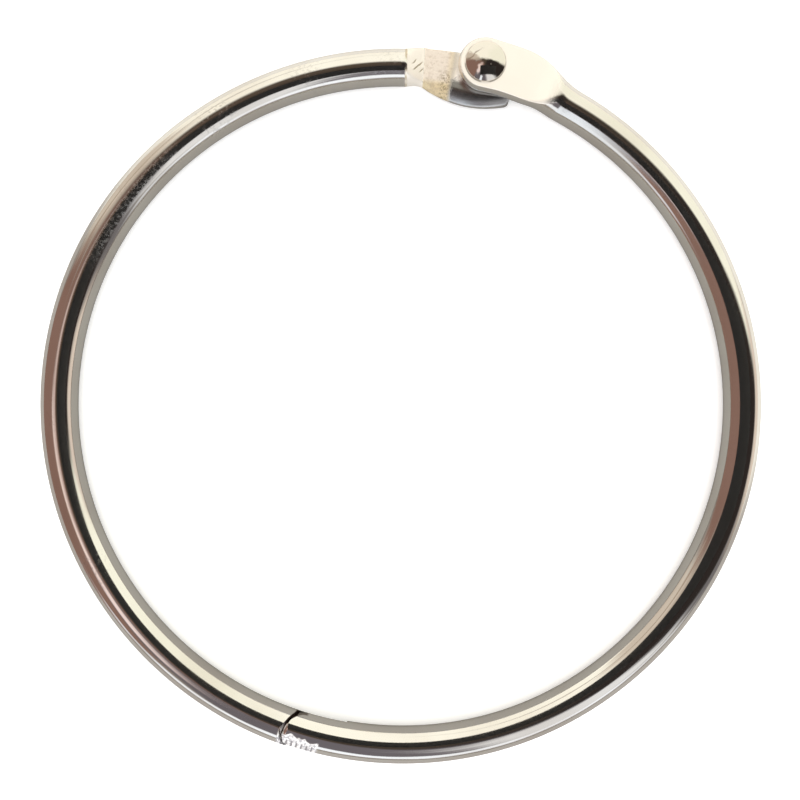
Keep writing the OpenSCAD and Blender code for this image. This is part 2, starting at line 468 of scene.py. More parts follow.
def press_tongue(mesh, wire, hinge):
    """Presses the hinge end of the left arm into a half-height tongue with a bulged inner side."""
    along = (TAU - read_points(mesh, "wire_angle")) * wire.ring_radius
    turn = np.arctan2(read_points(mesh, "wire_up"), read_points(mesh, "wire_out"))
    r, middle = wire.wire_radius, wire.wire_radius
    low, high = hinge.press_depth, middle - hinge.lap_gap / 2
    foot, head = hinge.flat_length, hinge.flat_length + hinge.slope_length
    # The bulged inner side is a wide arc, widest a little before the rivet
    across = -along + 1.7 * MM
    centre = wire.ring_radius - r - hinge.bulge_depth + hinge.bulge_radius
    inner_y = centre - np.sqrt(np.maximum(hinge.bulge_radius ** 2 - across ** 2, 1e-9))
    bulge = wire.ring_radius - np.hypot(np.minimum(np.abs(along), head + 2 * MM), inner_y)
    pressed = 1 - ramp(along, foot - 0.9 * MM, head + 0.2 * MM)
    inner = soft_max(bulge, np.full_like(bulge, r), 0.5 * MM)
    inner = np.where(along > head + 1.5 * MM, r, inner)
    eye = hinge.hinge_radius - wire.ring_radius + np.sqrt(np.maximum(hinge.eye_radius ** 2 - along ** 2, 0))
    eye = np.where(np.abs(along) < hinge.eye_radius, eye, 0.0)
    outer = soft_max(eye, np.full_like(eye, r - 0.06 * MM), 0.3 * MM)
    outer = mix(np.full_like(outer, r), np.minimum(outer, r + 1.0 * MM), pressed)
    side = np.cos(turn)
    # The free side stays round where it isn't pressed, and is a long nose on the inner side
    nose = mix(1.59 * MM, 0.92 * MM, 0.5 - 0.5 * side)
    tall = mix(np.full_like(side, r), nose, pressed)
    level = mix(np.full_like(side, middle), (low + high) / 2, pressed)
    wide = np.where(side >= 0, outer, inner)
    x = wide * side
    z = level + tall * np.sin(turn)
    # Upper die: flat, then a slope with a short steep lip where the round wire begins
    die = np.interp(along, [foot - 0.1 * MM, foot, head - 0.15 * MM, head + 0.3 * MM, head + 0.6 * MM],
                    [high, high, high + 1.42 * MM, 2 * r + 0.02 * MM, 2 * r + 1 * MM])
    z = soft_min(z, die, 0.05 * MM)
    # Lower die: a shallower flat that fades out under the shoulder
    bed = low - (low + 0.3 * MM) * ramp(along, foot - 0.2 * MM, head + 0.6 * MM)
    z = np.maximum(soft_max(z, bed, 0.05 * MM), 0.0)
    # The sheared tip has a small chamfer
    left = np.clip(along + hinge.tongue_tip, 0, 0.22 * MM)
    inset = 0.6 * (0.22 * MM - left)
    x = x - np.clip(x, -1, 1) / np.maximum(np.abs(x), 1e-9) * np.minimum(inset, np.abs(x))
    z = np.where(along < 0, np.clip(z, low + inset, high - inset), z)
    angle = TAU - along / wire.ring_radius
    lean = (1 - ramp(along, 0.0, hinge.sway_reach)) * ramp(along, foot - 0.3 * MM, head + 0.4 * MM)
    reach = wire.ring_radius + x - hinge.sway * lean
    place_points(mesh, reach * np.sin(angle), reach * np.cos(angle), z)


def press_paddle(mesh, wire, hinge, droop):
    """Presses the hinge end of the right arm into a flat paddle whose round end turns on the rivet."""
    along = read_points(mesh, "wire_angle") * wire.ring_radius
    turn = np.arctan2(read_points(mesh, "wire_up"), read_points(mesh, "wire_out"))
    r, middle = wire.wire_radius, wire.wire_radius
    low, high = middle + hinge.lap_gap / 2, 2 * r - hinge.press_depth
    foot, head = hinge.flat_length, hinge.flat_length + hinge.slope_length
    outer = through(along, (0.0, hinge.hinge_radius + hinge.paddle_radius), (1.5 * MM, hinge.neck_width),
                    (3.6 * MM, hinge.neck_width - 0.02 * MM), (10.4 * MM, wire.ring_radius + r))
    neck_inner = wire.ring_radius - r - 0.2 * MM
    inner = through(along, (0.0, hinge.hinge_radius - hinge.paddle_radius), (2.2 * MM, neck_inner),
                    (4.4 * MM, neck_inner), (7.6 * MM, wire.ring_radius - r))
    half = (outer - inner) / 2
    offset = (outer + inner) / 2 - wire.ring_radius
    pressed = 1 - ramp(along, foot - 2.4 * MM, head + 2.2 * MM)
    tall = mix(np.full_like(half, r), 1.94 * MM, pressed)
    level = mix(np.full_like(half, middle), (low + high) / 2, 1 - ramp(along, foot - 0.6 * MM, head + 1.2 * MM))
    x = half * np.cos(turn)
    z = level + tall * np.sin(turn)
    # Upper die runs out along the crest of the wire; lower die ends in the hidden shoulder
    die = high + (0.4 * MM) * ramp(along, foot - 0.6 * MM, head + 1.7 * MM)
    z = soft_min(z, die, 0.05 * MM)
    bed = np.interp(along, [foot, head], [low, 0.0])
    bed = np.where(along > head, -1 * MM, bed)
    z = np.maximum(soft_max(z, bed, 0.03 * MM), 0.0)
    # Past the axis, the inner and the outer half fold round the rivet into the round end
    fold = np.clip(-along / hinge.paddle_radius, 0, 1) * math.pi / 2
    angle = along / wire.ring_radius
    lean = ramp(angle, 0.78 * math.pi, 0.98 * math.pi)
    reach = wire.ring_radius + offset + x - droop * lean
    neck_x, neck_y = reach * np.sin(angle), reach * np.cos(angle)
    end_x = -np.abs(x) * np.sin(fold)
    end_y = hinge.hinge_radius + x * np.cos(fold)
    past = along < 0
    place_points(mesh, np.where(past, end_x, neck_x), np.where(past, end_y, neck_y), z)


# ---------------------------------------------------------------- cutting


def polar(radius, angle):
    """A point at a radius and an angle clockwise from the hinge."""
    return Vector((radius * math.sin(angle), radius * math.cos(angle)))


def shaped(name, bm):
    """A scene object holding a closed shape, with its faces turned outwards."""
    bmesh.ops.recalc_face_normals(bm, faces=bm.faces)
    mesh = bpy.data.meshes.new(name)
    bm.to_mesh(mesh)
    bm.free()
    made = bpy.data.objects.new(name, mesh)
    bpy.context.scene.collection.objects.link(made)
    return made


def lofted(name, outlines):
    """A closed solid through a stack of outlines, each (height, list of points)."""
    bm = bmesh.new()
    rings = [[bm.verts.new((p.x, p.y, z)) for p in outline] for z, outline in outlines]
    count = len(rings[0])
    for below, above in zip(rings, rings[1:]):
        for i in range(count):
            bm.faces.new([below[i], below[(i + 1) % count], above[(i + 1) % count], above[i]])
    bm.faces.new(rings[0][::-1])
    bm.faces.new(rings[-1])
    return shaped(name, bm)


def turned(name, profile, spot, steps=96):
    """A closed solid turned about an upright axis from (radius, height) points, foot to top on the axis."""
    bm = bmesh.new()
    rings = []
    for radius, z in profile:
        if radius < 1e-9:
            rings.append([bm.verts.new((spot[0], spot[1], z))])
        else:
            rings.append([bm.verts.new((spot[0] + radius * math.cos(TAU * i / steps),
                                        spot[1] + radius * math.sin(TAU * i / steps), z)) for i in range(steps)])
    for below, above in zip(rings, rings[1:]):
        for i in range(steps):
            j = (i + 1) % steps
            corners = [below[i % len(below)], below[j % len(below)], above[j % len(above)], above[i % len(above)]]
            bm.faces.new(list(dict.fromkeys(corners)))
    return shaped(name, bm)


def combine(target, tool, operation):
    """Cuts or joins a tool into a piece, and clears the tool away."""
    modifier = target.modifiers.new("cut", "BOOLEAN")
    modifier.operation, modifier.object, modifier.solver = operation, tool, "MANIFOLD"
    bpy.context.view_layer.update()
    dg = bpy.context.evaluated_depsgraph_get()
    mesh = bpy.data.meshes.new_from_object(target.evaluated_get(dg), preserve_all_data_layers=True, depsgraph=dg)
    if len(mesh.polygons) < 100:
        raise RuntimeError(f"{tool.name} left nothing of {target.name}")
    target.modifiers.clear()
    target.data = mesh
    bpy.data.objects.remove(tool)


def arc_points(centre, radius, start, end, steps=40):
    """Points round a centre, between two directions given clockwise from the hinge's."""
    return [centre + polar(radius, start + (end - start) * i / steps) for i in range(steps + 1)]


# Spare that the cutting shapes keep beyond the wire's sides at the nose
NOSE_SPARE = 0.06 * MM


def nose_angle(clasp, wire_radius, ring_radius):
    """Where the middle of the nose's round end lies on the ring."""
    return math.pi + (clasp.nose_length - wire_radius - NOSE_SPARE) / ring_radius


def grip_axes(clasp, ring_radius):
    """The grip's place on the ring, and its directions: along, out, away from its face, and across."""
    middle = math.pi + (clasp.nose_length + clasp.end_gap - clasp.facet_length / 2) / ring_radius
    along = Vector((math.cos(middle), -math.sin(middle), 0))
    out = Vector((math.sin(middle), math.cos(middle), 0))
    cos, sin = math.cos(clasp.grip_tilt), math.sin(clasp.grip_tilt)
    return middle, along, out, out * cos + Vector((0, 0, sin)), Vector((0, 0, cos)) - out * sin


def cut_clasp(arm, wire, clasp, upper):
    """Cuts one arm's half of the clasp: the upper lap with its round nose, or the room for it."""
    r, ring = wire.wire_radius, wire.ring_radius
    near, far = ring - 2.2 * r, ring + 2.2 * r
    nose_r = r + NOSE_SPARE
    nose_at = nose_angle(clasp, r, ring)
    start = math.pi - clasp.under_length / ring
    top, above = 2 * r, 2 * r + 1 * MM
    centre = polar(ring, nose_at)
    beyond = nose_at + (nose_r + 3 * MM) / ring
    if upper:
        lap = r + clasp.clasp_gap / 2
        sector = [polar(near, start), polar(far, start), polar(far, (start + beyond) / 2), polar(far, beyond),
                  polar(near, beyond), polar(near, (start + beyond) / 2)]
        combine(arm, lofted("lap_tool", [(-1 * MM, sector), (lap, sector)]), "DIFFERENCE")

        def beyond_nose(radius):
            tip = arc_points(centre, radius, nose_at, nose_at + math.pi)
            return [polar(far, nose_at)] + tip + [polar(near, nose_at), polar(near, beyond), polar(far, beyond)]

        rounding = clasp.edge_round
        levels = [(-1 * MM, 0.0)] + [(top - rounding + rounding * math.sin(a), rounding * (1 - math.cos(a)))
                                     for a in np.linspace(0, math.pi / 2.2, 7)] + [(above, rounding)]
        combine(arm, lofted("nose_tool", [(z, beyond_nose(nose_r - inset)) for z, inset in levels]), "DIFFERENCE")
        dimple = clasp.nub_radius + clasp.clasp_gap
        deep = r - clasp.clasp_gap / 2 + clasp.nub_height - clasp.nub_radius
        ball = [(dimple * math.sin(a), deep - dimple * math.cos(a)) for a in np.linspace(0, math.pi, 33)]
        ball[0], ball[-1] = (0.0, ball[0][1]), (0.0, ball[-1][1])
        combine(arm, turned("dimple_tool", ball, polar(ring, math.pi), 48), "DIFFERENCE")
    else:
        lap = r - clasp.clasp_gap / 2

        def room(radius):
            tip = arc_points(centre, radius, nose_at, nose_at + math.pi)
            side = [polar(near, start - 0.1), polar(far, start - 0.1), polar(far, nose_at)]
            return side + tip + [polar(near, nose_at)]

        wide = nose_r + clasp.end_gap
        levels = [(lap, 0.0), (top - 0.25 * MM, 0.0), (top - 0.08 * MM, 0.05 * MM), (above, 1.1 * MM)]
        combine(arm, lofted("room_tool", [(z, room(wide + more)) for z, more in levels]), "DIFFERENCE")
        nub = clasp.nub_radius
        high = lap + clasp.nub_height
        edge = math.acos(1 - 2 * clasp.nub_height / nub)
        cap = [(0.0, lap - clasp.nub_height)]
        cap += [(nub * math.sin(a), high - nub + nub * math.cos(a)) for a in np.linspace(edge, 0.0, 9)[:-1]]
        combine(arm, turned("nub_tool", cap + [(0.0, high)], polar(ring, math.pi), 48), "UNION")


def cut_grip(arm, wire, clasp):
    """Presses the flat facet and its grooves across the upper outer side of the clasp."""
    ring, r = wire.ring_radius, wire.wire_radius
    middle, along, out, normal, side = grip_axes(clasp, ring)
    face = r - clasp.facet_depth
    bm = bmesh.new()
    bmesh.ops.create_cube(bm, size=1.0)
    core = out * ring + Vector((0, 0, r))
    for v in bm.verts:
        end = 1 if v.co.z > 0 else 0
        v.co = (core + along * v.co.x * (clasp.facet_length + 0.35 * MM * end) + side * v.co.y * 2 * r
                + normal * (face + end * 0.6 * MM))
    combine(arm, shaped("facet_tool", bm), "DIFFERENCE")
    bars = grown("groove_tool", groove_tree(), Count=clasp.groove_count, Pitch=clasp.groove_pitch,
                 Bar_Radius=clasp.groove_radius, Bar_Length=1.2 * MM,
                 Reach=face + clasp.groove_radius - clasp.groove_depth, Tilt=clasp.grip_tilt,
                 Ring_Radius=ring, Middle_Angle=middle)
    combine(arm, bars, "DIFFERENCE")


def finish_mesh(piece, material, sharp=math.radians(32)):
    """Cleans a piece's mesh, shades it smooth up to its real edges, and gives it its material."""
    mesh = piece.data
    bm = bmesh.new()
    bm.from_mesh(mesh)
    bmesh.ops.remove_doubles(bm, verts=bm.verts, dist=1e-6)
    bmesh.ops.dissolve_degenerate(bm, dist=1e-6, edges=bm.edges)
    bmesh.ops.recalc_face_normals(bm, faces=bm.faces)
    bm.to_mesh(mesh)
    bm.free()
    mesh.polygons.foreach_set("use_smooth", [True] * len(mesh.polygons))
    mesh.set_sharp_from_angle(angle=sharp)
    for name in ("wire_angle", "wire_out", "wire_up"):
        if name in mesh.attributes:
            mesh.attributes.remove(mesh.attributes[name])
    mesh.materials.clear()
    mesh.materials.append(material)
    mesh.polygons.foreach_set("material_index", [0] * len(mesh.polygons))
    mesh.update()
    return piece


# ---------------------------------------------------------------- materials


def ring_coordinates():
    """Object coordinates turned into distances along, across and above the ring's wire."""
    found = bpy.data.node_groups.get("Ring Coordinates")
    if found:
        return found
    tree, given, made = new_group("Ring Coordinates", "ShaderNodeTree", [
        ("Vector", "NodeSocketVector"),
        ("Ring Radius", "NodeSocketFloat", RING_R),
        ("Middle Height", "NodeSocketFloat", WIRE_R),
    ], [("Along", "NodeSocketFloat"), ("Outward", "NodeSocketFloat"), ("Height", "NodeSocketFloat"),
        ("Unrolled", "NodeSocketVector")])
    w = Wiring(tree)
    part = w.separate(given.outputs["Vector"])
    angle = w.math("ARCTAN2", part["X"], part["Y"])
    radius = w.vector("LENGTH", w.combine(part["X"], part["Y"], 0.0))
    along = w.product(angle, given.outputs["Ring Radius"])
    outward = w.math("SUBTRACT", radius, given.outputs["Ring Radius"])
    above = w.math("SUBTRACT", part["Z"], given.outputs["Middle Height"])
    unrolled = w.combine(along, outward, above)
    for name, value in (("Along", along), ("Outward", outward), ("Height", part["Z"]), ("Unrolled", unrolled)):
        w.put(made.inputs[name], value)
    return tree


def plate_wear():
    """Fine drawn lines, stray scratches, clouds and speckled scuffs of a handled plated wire."""
    found = bpy.data.node_groups.get("Plate Wear")
    if found:
        return found
    tree, given, made = new_group("Plate Wear", "ShaderNodeTree", [
        ("Vector", "NodeSocketVector"),
        ("Scratch Scale", "NodeSocketFloat", 900.0),
        ("Scuff Amount", "NodeSocketFloat", 0.4),
    ], [("Cloud", "NodeSocketFloat"), ("Scratch", "NodeSocketFloat"), ("Scuff", "NodeSocketFloat"),
        ("Height", "NodeSocketFloat")])
    w = Wiring(tree)
    spot = given.outputs["Vector"]
    cloud = w.noise(spot, 95.0, 3.0, 0.55)
    fine = w.product(given.outputs["Scratch Scale"], 4.0)
    drawn = w.noise(w.vector("MULTIPLY", spot, (0.03, 1.0, 1.0)), fine, 2.0)
    lines = None
    for seed, skew in ((0.0, (1.0, 0.16, 0.22)), (4.7, (0.13, 1.0, 0.5)), (9.1, (0.45, 0.5, 0.12))):
        field = w.noise(w.vector("ADD", w.vector("MULTIPLY", spot, skew), (seed, seed, 0.0)),
                        given.outputs["Scratch Scale"], 1.5)
        line = w.step(w.math("ABSOLUTE", w.math("SUBTRACT", field, 0.5)), 0.0, 0.012, 1.0, 0.0)
        lines = line if lines is None else w.math("MAXIMUM", lines, line)
    sparse = w.step(w.noise(w.vector("ADD", spot, (3.1, 0.0, 0.0)), 260.0, 1.0), 0.5, 0.66)
    scratch = w.product(lines, sparse)
    grain = w.step(w.noise(spot, 2600.0, 1.0), 0.53, 0.62)
    patch = w.step(w.noise(w.vector("ADD", spot, (0.7, 0.0, 0.0)), 150.0, 1.0), 0.56, 0.72)
    scuff = w.product(w.product(grain, patch), given.outputs["Scuff Amount"])
    height = w.math("MULTIPLY_ADD", scratch, -1.0, w.product(drawn, 0.35))
    for name, value in (("Cloud", cloud), ("Scratch", scratch), ("Scuff", scuff), ("Height", height)):
        w.put(made.inputs[name], value)
    return tree


def new_material(name):
    """An empty material with its shader: the material, its wiring and the shader's inputs."""
    made = bpy.data.materials.new(name)
    made.use_nodes = True
    made.node_tree.nodes.clear()
    w = Wiring(made.node_tree)
    shader = w.node("ShaderNodeBsdfPrincipled")
    out = w.node("ShaderNodeOutputMaterial")
    w.put(out.inputs["Surface"], shader.outputs[0])
    return made, w, shader.inputs


def level_reach(w, vector):
    """Length of a vector seen from straight above."""
    flat = w.separate(vector)
    return w.vector("LENGTH", w.combine(flat["X"], flat["Y"], 0.0))


def band(w, value, low, high, soft):
    """1 where a value lies between two levels, with soft ends."""
    rise = w.step(value, low - soft, low + soft)
    return w.product(rise, w.step(value, high - soft, high + soft, 1.0, 0.0))


def tongue_faces(w, finish, hinge, spot, at, base, rough):
    """The tongue's pressed faces, as base colour, roughness, metal and relief."""
    along, outward, height = at["Along"], at["Outward"], at["Height"]
    before = w.product(along, -1.0)
    foot = hinge.flat_length
    # Rough die marks on the flat, ending in a ragged line beside the paddle
    ragged = w.product(w.math("SUBTRACT", w.noise(spot, 1600.0, 2.0), 0.5), 1.1 * MM)
    limit = w.step(outward, -0.3 * MM, -1.2 * MM, -1.9 * MM, -3.0 * MM)
    on_flat = w.step(w.math("SUBTRACT", w.math("ADD", along, ragged), limit), 0.15 * MM, -0.25 * MM)
    face = w.product(on_flat, w.step(along, -foot - 0.2 * MM, -foot + 0.1 * MM),
                     w.step(height, WIRE_R - 0.02 * MM, WIRE_R + 0.06 * MM, 1.0, 0.0),
                     w.step(height, 0.5 * MM, 1.2 * MM))
    coarse = w.noise(spot, 2300.0, 3.0, 0.62)
    cells = w.node("ShaderNodeTexVoronoi", {"feature": "DISTANCE_TO_EDGE"}, Vector=spot, Scale=2600.0)
    pits = w.step(cells.outputs[0], 0.0, 0.12)
    # Painted warm reflection towards the inner edge and painted shade towards and under the paddle, and stained
    # along the line
    sheen_and_shade = w.math("MAXIMUM", w.step(outward, -1.35 * MM, -2.1 * MM),
                  w.product(w.step(along, -4.0 * MM, -3.2 * MM), 0.7))
    tint = w.blend(w.product(sheen_and_shade, 0.85), tuple(finish.die_face), tuple(finish.die_gold))
    tint = w.blend(w.step(coarse, 0.30, 0.55), w.blend(0.40, tint, (0.42, 0.33, 0.22)), tint)
    stain = w.product(band(w, along, -4.4 * MM, -3.2 * MM, 0.4 * MM), w.step(outward, -0.2 * MM, -1.2 * MM),
                      w.step(w.noise(spot, 5200.0, 3.0, 0.7), 0.47, 0.60))
    tint = w.blend(w.product(stain, 0.7), tint, (0.24, 0.17, 0.07))
    base = w.blend(face, base, tint)
    # Satin slope with slanted strokes, and painted shade as a dark yellow line in the crease where the round wire
    # begins
    slope = w.product(band(w, before, foot, foot + 2.0 * MM, 0.1 * MM),
                      w.step(height, 3.55 * MM, 3.75 * MM, 1.0, 0.0))
    wobble = w.product(w.noise(spot, 1500.0, 1.0), 2.5)
    strokes = w.math("MULTIPLY_ADD", along, 9500.0, w.product(outward, -7200.0))
    strokes = w.step(w.math("SINE", w.math("ADD", strokes, wobble)), 0.62, 0.95)
    strokes = w.product(strokes, band(w, outward, -1.0 * MM, 0.1 * MM, 0.2 * MM),
                        band(w, before, foot, foot + 1.2 * MM, 0.2 * MM), slope)
    base = w.blend(w.product(slope, 0.9), base, tuple(finish.satin))
    base = w.blend(w.product(strokes, 0.8), base, (0.24, 0.18, 0.09))
    # Smooth satin strip beside the paddle, and dull grey metal below it, with painted shade darkening it towards
    # the paddle
    under = w.step(height, WIRE_R, WIRE_R + 0.1 * MM, 1.0, 0.0)
    below_lap_shaded = w.product(w.step(along, -3.6 * MM, -3.0 * MM), under, w.step(along, 5 * MM, 6 * MM, 1.0, 0.0))
    smooth = w.product(w.step(height, WIRE_R - 0.14 * MM, WIRE_R - 0.08 * MM),
                       w.step(along, -3.6 * MM, -2.4 * MM), w.step(along, -2.3 * MM, -1.7 * MM, 1.0, 0.0),
                       w.step(outward, -1.6 * MM, -1.1 * MM), under)
    base = w.blend(smooth, base, tuple(finish.satin))
    below_lap_shaded = w.math("SUBTRACT", below_lap_shaded, smooth, clamp=True)
    # Painted shade: lighter grey at the inner edge, darker grey under the paddle
    under_paddle_shade = w.blend(w.step(outward, -3.0 * MM, -1.9 * MM), (0.62, 0.62, 0.62), (0.30, 0.30, 0.30))
    base = w.blend(w.product(below_lap_shaded, 0.75), base, under_paddle_shade)
    # Painted shade: a broken dark yellow line along the crease at the shoulder
    crease_shade = w.product(band(w, before, foot + 1.78 * MM, foot + 2.0 * MM, 0.08 * MM),
                       w.step(w.noise(spot, 900.0, 1.0), 0.3, 0.55))
    base = w.blend(w.product(crease_shade, 0.65), base, (0.38, 0.28, 0.12))
    for mask, level in ((face, 0.44), (slope, 0.30), (smooth, 0.3), (below_lap_shaded, 0.26)):
        rough = w.math("MAXIMUM", rough, w.product(mask, level))
    metal = w.math("SUBTRACT", 1.0, w.product(face, 0.45))
    metal = w.math("SUBTRACT", metal, w.product(slope, 0.60))
    metal = w.math("SUBTRACT", metal, w.product(smooth, 0.60), clamp=True)
    relief = w.product(w.math("ADD", coarse, w.product(pits, 0.5)), face)
    return base, rough, metal, w.math("SUBTRACT", relief, w.product(strokes, 0.8))


def paddle_faces(w, finish, hinge, spot, at, base, rough):
    """The paddle's satin upper face, as base colour, roughness, metal and relief."""
    along, crest, foot = at["Along"], 2 * WIRE_R - hinge.press_depth, hinge.flat_length
    satin = w.product(w.step(at["Height"], crest - 0.10 * MM, crest - 0.04 * MM),
                      w.step(along, foot + 0.7 * MM, foot + 2.2 * MM, 1.0, 0.0),
                      w.step(along, -4.2 * MM, -4.0 * MM))
    cloudy = w.blend(w.noise(spot, 420.0, 2.0), tuple(finish.satin), (0.90, 0.85, 0.76))
    base = w.blend(satin, base, cloudy)
    rough = w.math("MAXIMUM", rough, w.product(satin, 0.24))
    metal = w.math("SUBTRACT", 1.0, w.product(satin, 0.68))
    # Painted shadow: a broken dark ring on the paddle round the rivet's head
    reach = level_reach(w, w.vector("SUBTRACT", spot, (0.0, HINGE_R, 0.0)))
    seam = w.product(band(w, reach, 2.0 * MM, 2.17 * MM, 0.03 * MM), satin,
                     w.step(w.noise(spot, 700.0, 1.0), 0.35, 0.5))
    base = w.blend(w.product(seam, 0.75), base, (0.25, 0.23, 0.19))
    return base, rough, metal, w.product(w.noise(spot, 1500.0, 1.0), satin, 0.12)


def clasp_faces(w, finish, clasp, spot, at, base, rough, metal, relief):
    """The grainy grip across the clasp with painted shade in its grooves, and painted shade in the gap round the
    nose, laid over the rest.
    """
    middle, tangent, out, normal, side = grip_axes(clasp, RING_R)
    own = w.vector("SUBTRACT", spot, out * RING_R + Vector((0, 0, WIRE_R)))
    forward = w.vector("DOT_PRODUCT", own, tangent)
    edge = WIRE_R - clasp.facet_depth - 0.50 * MM
    ragged = w.product(w.math("SUBTRACT", w.noise(own, 900.0, 1.0), 0.5), 1.3 * MM)
    rise = w.math("ADD", w.vector("DOT_PRODUCT", own, normal), ragged)
    half = clasp.facet_length / 2
    grip = w.product(w.step(w.math("ABSOLUTE", forward), half, half + 0.2 * MM, 1.0, 0.0),
                     w.step(rise, edge, edge + 0.12 * MM))
    across = w.math("ABSOLUTE", w.vector("DOT_PRODUCT", own, side))
    wave = w.math("COSINE", w.product(forward, TAU / clasp.groove_pitch))
    # Painted shade: the grooves are darkened
    groove = w.product(grip, w.step(wave, 0.25, 0.75), w.step(across, 0.7 * MM, 0.9 * MM, 1.0, 0.0))
    sparkle = w.noise(spot, 3200.0, 2.0)
    pale = w.blend(w.step(sparkle, 0.38, 0.60), (0.48, 0.48, 0.51), tuple(finish.grip))
    base = w.blend(grip, base, w.blend(w.product(groove, 0.85), pale, (0.21, 0.20, 0.22)))
    rough = w.math("MAXIMUM", rough, w.product(grip, 0.36))
    metal = w.math("SUBTRACT", metal, grip, clamp=True)
    relief = w.math("ADD", relief, w.product(sparkle, grip, 0.5))
    nose_at = nose_angle(clasp, WIRE_R, RING_R)
    ahead = w.vector("SUBTRACT", spot, (RING_R * math.sin(nose_at), RING_R * math.cos(nose_at), 0.0))
    # Painted shade: a dark brown band on the walls of the gap round the nose
    gap = w.product(band(w, level_reach(w, ahead), WIRE_R + 0.02 * MM, WIRE_R + 0.34 * MM, 0.03 * MM),
                    w.step(w.vector("DOT_PRODUCT", ahead, tangent), -0.3 * MM, 0.0),
                    w.step(at["Height"], 3.2 * MM, 3.45 * MM, 1.0, 0.0),
                    w.step(at["Outward"], -0.6 * MM, 0.5 * MM, 0.85, 0.0))
    return w.blend(gap, base, (0.17, 0.13, 0.10)), rough, metal, relief


def arm_material(name, finish, hinge, clasp, tongue):
    """Bright nickel plate with its wear, and the arm's own pressed faces."""
    made, w, shader = new_material(name)
    spot = w.node("ShaderNodeTexCoord").outputs["Object"]
    at = w.use(ring_coordinates(), Vector=spot)
    wear = w.use(plate_wear(), Vector=at["Unrolled"], Scratch_Scale=900.0, Scuff_Amount=0.28)
    base = w.blend(w.step(wear["Cloud"], 0.35, 0.75), tuple(finish.nickel), tuple(finish.nickel_dull))
    base = w.blend(w.product(wear["Scuff"], 0.6), base, (0.55, 0.52, 0.48))
    rough = w.step(wear["Cloud"], 0.3, 0.8, finish.gloss, finish.gloss + 0.07)
    rough = w.math("ADD", rough, w.product(wear["Scratch"], 0.10 * finish.scratches))
    rough = w.math("ADD", rough, w.product(wear["Scuff"], 0.45))
    if tongue:
        # A rubbed patch on the inner upper side, well away from the hinge
        rubbed = w.product(band(w, at["Along"], -50 * MM, -35 * MM, 3 * MM),
                           band(w, at["Outward"], -1.15 * MM, -0.15 * MM, 0.2 * MM),
                           w.step(w.noise(spot, 2800.0, 3.0, 0.7), 0.43, 0.58))
        rough = w.math("ADD", rough, w.product(rubbed, 0.18))
    pressed = tongue_faces if tongue else paddle_faces
    look = pressed(w, finish, hinge, spot, at, base, rough)
    base, rough, metal, relief = clasp_faces(w, finish, clasp, spot, at, *look)
    fine = w.product(wear["Height"], 0.03 * finish.scratches)
    bump = w.node("ShaderNodeBump", Strength=0.6, Distance=0.05 * MM, Height=w.math("ADD", relief, fine))
    w.put(shader["Base Color"], base)
    w.put(shader["Roughness"], rough)
    w.put(shader["Metallic"], metal)
    w.put(shader["Normal"], bump.outputs[0])
    return made


def rivet_material(finish):
    """Polished nickel, with polishing rings and a few pits."""
    made, w, shader = new_material("plated_rivet")
    spot = w.node("ShaderNodeTexCoord").outputs["Object"]
    own = w.vector("SUBTRACT", spot, (0.0, HINGE_R, 0.0))
    wear = w.use(plate_wear(), Vector=own, Scratch_Scale=2600.0, Scuff_Amount=0.3)
    base = w.blend(w.step(wear["Cloud"], 0.3, 0.8), tuple(finish.rivet), tuple(finish.nickel_dull))
    rings = w.noise(w.combine(level_reach(w, own), 0.0, w.separate(own)["Z"]), 5200.0, 1.0)
    pits = w.node("ShaderNodeTexVoronoi", {"feature": "F1"}, Vector=own, Scale=900.0).outputs["Distance"]
    pit = w.step(pits, 0.05, 0.12, 1.0, 0.0)
    rough = w.math("ADD", w.step(wear["Cloud"], 0.3, 0.8, 0.05, 0.10), w.product(wear["Scratch"], 0.025))
    rough = w.math("ADD", rough, w.product(pit, 0.25))
    height = w.math("SUBTRACT", w.product(rings, 0.03), w.product(pit, 0.3))
    bump = w.node("ShaderNodeBump", Strength=0.35, Distance=0.02 * MM, Height=height)
    w.put(shader["Metallic"], 1.0)
    w.put(shader["Base Color"], base)
    w.put(shader["Roughness"], rough)
    w.put(shader["Normal"], bump.outputs[0])
    return made


def floor_material(tint):
    """Pale paper, which the metal sees a little darker than the eye does, with painted shade inside the ring and
    painted light outside it towards the view's top.
    """
    made, w, shader = new_material("paper_floor")
    spot = w.node("ShaderNodeTexCoord").outputs["Object"]
    fibre = w.noise(spot, 400.0, 3.0)
    pale = w.blend(fibre, tuple(tint), tuple(c * 0.985 for c in tint))
    seen = w.node("ShaderNodeLightPath").outputs["Is Glossy Ray"]
    # For reflections only: painted shade inside the ring, painted light outside it towards the view's top
    away = w.step(level_reach(w, spot), 33 * MM, 44 * MM)
    bright = w.step(w.vector("DOT_PRODUCT", spot, (0.193, 0.981, 0.0)), 3 * MM, 16 * MM)
    mirrored = w.blend(away, (0.29, 0.285, 0.27), w.blend(bright, (0.35, 0.34, 0.33), (0.72, 0.715, 0.68)))
    w.put(shader["Base Color"], w.blend(seen, pale, mirrored))
    w.put(shader["Emission Color"], w.blend(seen, (0.97, 0.975, 0.98), (0.0, 0.0, 0.0)))
    w.put(shader["Emission Strength"], 0.35)
    w.put(shader["Roughness"], 0.9)
    w.put(shader["Specular IOR Level"], 0.1)
    return made


# ---------------------------------------------------------------- studio


def view_axes(roll):
    """The view's right and up directions on the floor."""
    return Vector((math.cos(roll), math.sin(roll), 0)), Vector((-math.sin(roll), math.cos(roll), 0))


